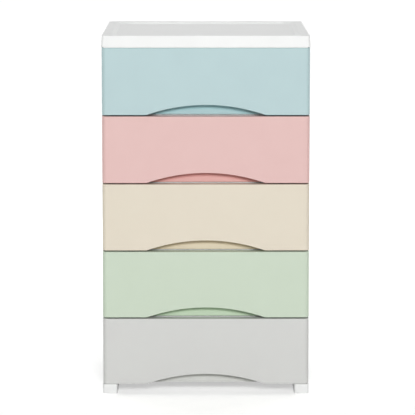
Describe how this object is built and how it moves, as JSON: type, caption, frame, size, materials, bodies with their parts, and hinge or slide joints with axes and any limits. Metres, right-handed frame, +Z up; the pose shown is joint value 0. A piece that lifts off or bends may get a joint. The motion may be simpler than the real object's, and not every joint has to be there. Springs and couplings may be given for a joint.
{
  "type": "drawer tower",
  "caption": "Upright plastic drawer tower with stacked frames, a tray top, plug-in feet and sliding drawers with arched finger grips.",
  "frame": {"origin": "on the floor, under the centre of the top cover's outline", "axes": "+Z up, the drawer fronts face -Y and slide out along -Y, +X to the right when the fronts are seen from in front"},
  "size_m": [0.382, 0.4, 0.664],
  "materials": {
    "cabinet_white": "injection-moulded polypropylene, satin-matt, fine spark-eroded grain",
    "drawer_blue": "injection-moulded polypropylene, satin-matt, fine spark-eroded grain",
    "drawer_pink": "injection-moulded polypropylene, satin-matt, fine spark-eroded grain",
    "drawer_cream": "injection-moulded polypropylene, satin-matt, fine spark-eroded grain",
    "drawer_green": "injection-moulded polypropylene, satin-matt, fine spark-eroded grain",
    "drawer_grey": "injection-moulded polypropylene, satin-matt, fine spark-eroded grain"
  },
  "bodies": {
    "cabinet": {"top_cover": "cabinet_white", "base_frame": "cabinet_white", "shelf_frame_1": "cabinet_white", "shelf_frame_2": "cabinet_white", "shelf_frame_3": "cabinet_white", "shelf_frame_4": "cabinet_white", "side_panel_left_1": "cabinet_white", "side_panel_right_1": "cabinet_white", "side_panel_left_2": "cabinet_white", "side_panel_right_2": "cabinet_white", "side_panel_left_3": "cabinet_white", "side_panel_right_3": "cabinet_white", "side_panel_left_4": "cabinet_white", "side_panel_right_4": "cabinet_white", "side_panel_left_5": "cabinet_white", "side_panel_right_5": "cabinet_white", "back_panel_1": "cabinet_white", "back_panel_2": "cabinet_white", "back_panel_3": "cabinet_white", "back_panel_4": "cabinet_white", "back_panel_5": "cabinet_white", "foot_front_left": "cabinet_white", "foot_front_right": "cabinet_white", "foot_rear_left": "cabinet_white", "foot_rear_right": "cabinet_white"},
    "drawer_1": {"drawer_box_1": "drawer_blue", "drawer_front_1": "drawer_blue"},
    "drawer_2": {"drawer_box_2": "drawer_pink", "drawer_front_2": "drawer_pink"},
    "drawer_3": {"drawer_box_3": "drawer_cream", "drawer_front_3": "drawer_cream"},
    "drawer_4": {"drawer_box_4": "drawer_green", "drawer_front_4": "drawer_green"},
    "drawer_5": {"drawer_box_5": "drawer_grey", "drawer_front_5": "drawer_grey"}
  },
  "joints": [
    {"name": "drawer_1_slide", "type": "slide", "parent": "cabinet", "child": "drawer_1", "axis": [0, -1, 0], "range_m": [0, 0.235]},
    {"name": "drawer_2_slide", "type": "slide", "parent": "cabinet", "child": "drawer_2", "axis": [0, -1, 0], "range_m": [0, 0.235]},
    {"name": "drawer_3_slide", "type": "slide", "parent": "cabinet", "child": "drawer_3", "axis": [0, -1, 0], "range_m": [0, 0.235]},
    {"name": "drawer_4_slide", "type": "slide", "parent": "cabinet", "child": "drawer_4", "axis": [0, -1, 0], "range_m": [0, 0.235]},
    {"name": "drawer_5_slide", "type": "slide", "parent": "cabinet", "child": "drawer_5", "axis": [0, -1, 0], "range_m": [0, 0.235]}
  ]
}
